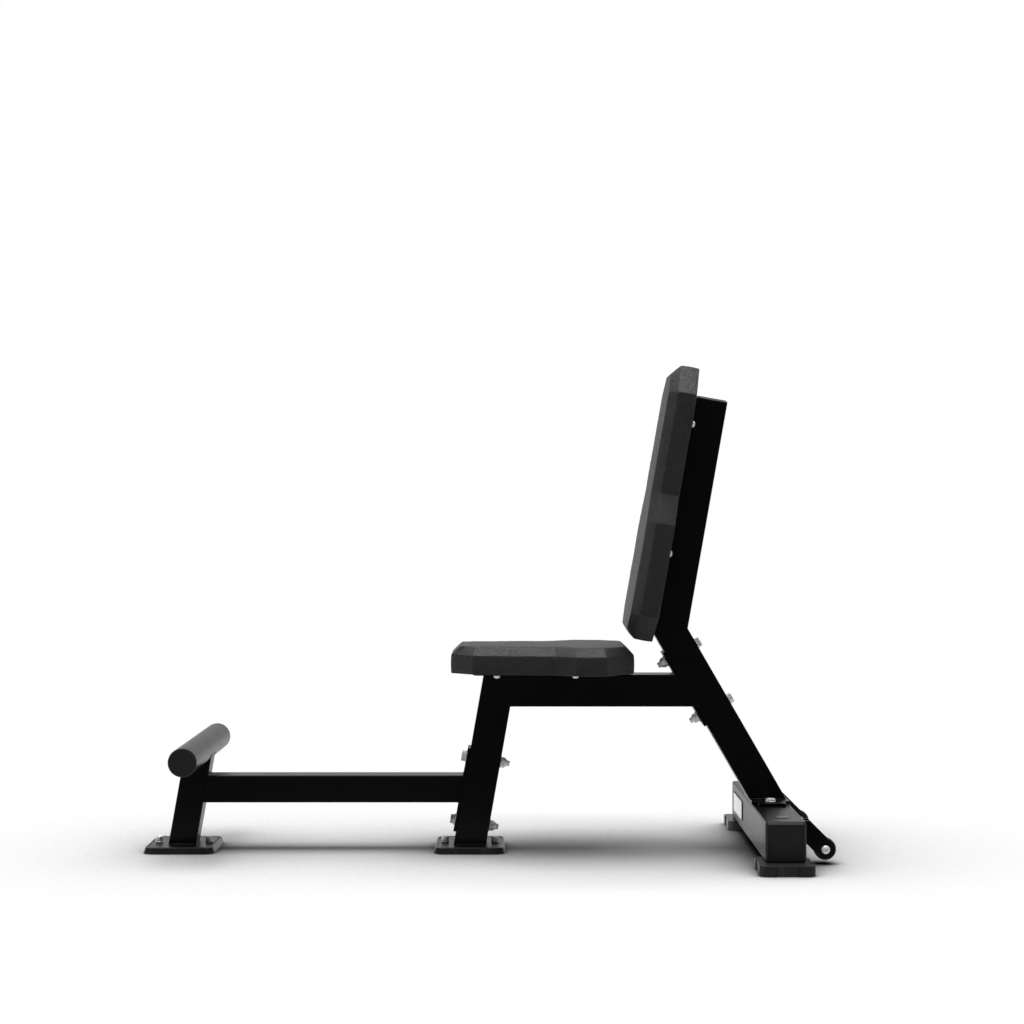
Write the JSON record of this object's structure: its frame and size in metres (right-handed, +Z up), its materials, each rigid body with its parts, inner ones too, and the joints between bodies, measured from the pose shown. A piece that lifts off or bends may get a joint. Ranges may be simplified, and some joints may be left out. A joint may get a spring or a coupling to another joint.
{
  "type": "upright utility bench",
  "caption": "Gym bench with a short upright back pad, a waisted seat pad, a welded and bolted square-tube frame, a round foot bar and small transport wheels.",
  "frame": {"origin": "on the floor, at the middle of the bench's length and width", "axes": "+Z is up, +X runs from the foot bar towards the back rest and the wheels, and +Y is the right side of a person who sits on the seat and faces the foot bar"},
  "size_m": [1.344, 0.64, 0.9607],
  "materials": {
    "painted_steel": "black powder coat with a low sheen",
    "zinc": "bright zinc plate",
    "moulded_plastic": "black, fine moulded texture",
    "rubber": "black, matt",
    "vinyl": "black upholstery vinyl with a fine grain",
    "plywood": "bare plywood",
    "white_plate": "plain white, blank"
  },
  "bodies": {
    "bench": {"rear_crossmember": "painted_steel", "crossmember_cap_left": "moulded_plastic", "crossmember_cap_right": "moulded_plastic", "access_plug_left": "moulded_plastic", "access_plug_right": "moulded_plastic", "rear_foot_left": "rubber", "rear_foot_right": "rubber", "nameplate": "white_plate", "base_flange": "painted_steel", "base_bolt_left": "zinc", "base_bolt_right": "zinc", "rear_post": "painted_steel", "back_upright": "painted_steel", "upright_cap": "moulded_plastic", "seat_frame_flange": "painted_steel", "rear_joint_bolt_lower": "zinc", "rear_joint_bolt_upper": "zinc", "rear_joint_nut_lower": "zinc", "rear_joint_nut_upper": "zinc", "seat_tube": "painted_steel", "front_post": "painted_steel", "foot_frame_flange": "painted_steel", "front_joint_bolt_lower": "zinc", "front_joint_bolt_upper": "zinc", "front_joint_nut_lower": "zinc", "front_joint_nut_upper": "zinc", "foot_tube": "painted_steel", "foot_post": "painted_steel", "foot_bar": "painted_steel", "foot_bar_cap_left": "moulded_plastic", "foot_bar_cap_right": "moulded_plastic", "front_foot_plate": "painted_steel", "front_foot_boot": "rubber", "middle_foot_plate": "painted_steel", "middle_foot_boot": "rubber", "seat_plate": "painted_steel", "seat_board": "plywood", "seat_cushion": "vinyl", "seat_pad_bolt_front_left": "zinc", "seat_pad_bolt_front_right": "zinc", "seat_pad_bolt_rear_left": "zinc", "seat_pad_bolt_rear_right": "zinc", "back_tab_lower": "painted_steel", "back_tab_upper": "painted_steel", "back_board": "plywood", "back_cushion": "vinyl", "back_pad_bolt_lower_left": "zinc", "back_pad_bolt_lower_right": "zinc", "back_pad_bolt_upper_left": "zinc", "back_pad_bolt_upper_right": "zinc", "wheel_bracket_left_outer": "painted_steel", "wheel_bracket_left_inner": "painted_steel", "wheel_bracket_right_outer": "painted_steel", "wheel_bracket_right_inner": "painted_steel", "axle_bolt_left": "zinc", "axle_bolt_right": "zinc", "axle_nut_left": "zinc", "axle_nut_right": "zinc"},
    "left_wheel": {"wheel_left": "rubber"},
    "right_wheel": {"wheel_right": "rubber"}
  },
  "joints": [
    {"name": "left_wheel_spin", "type": "hinge", "parent": "bench", "child": "left_wheel", "pos_m": [0.65105, -0.1755, 0.0292], "axis": [0, 1, 0], "continuous": true},
    {"name": "right_wheel_spin", "type": "hinge", "parent": "bench", "child": "right_wheel", "pos_m": [0.65105, 0.1755, 0.0292], "axis": [0, 1, 0], "continuous": true}
  ]
}
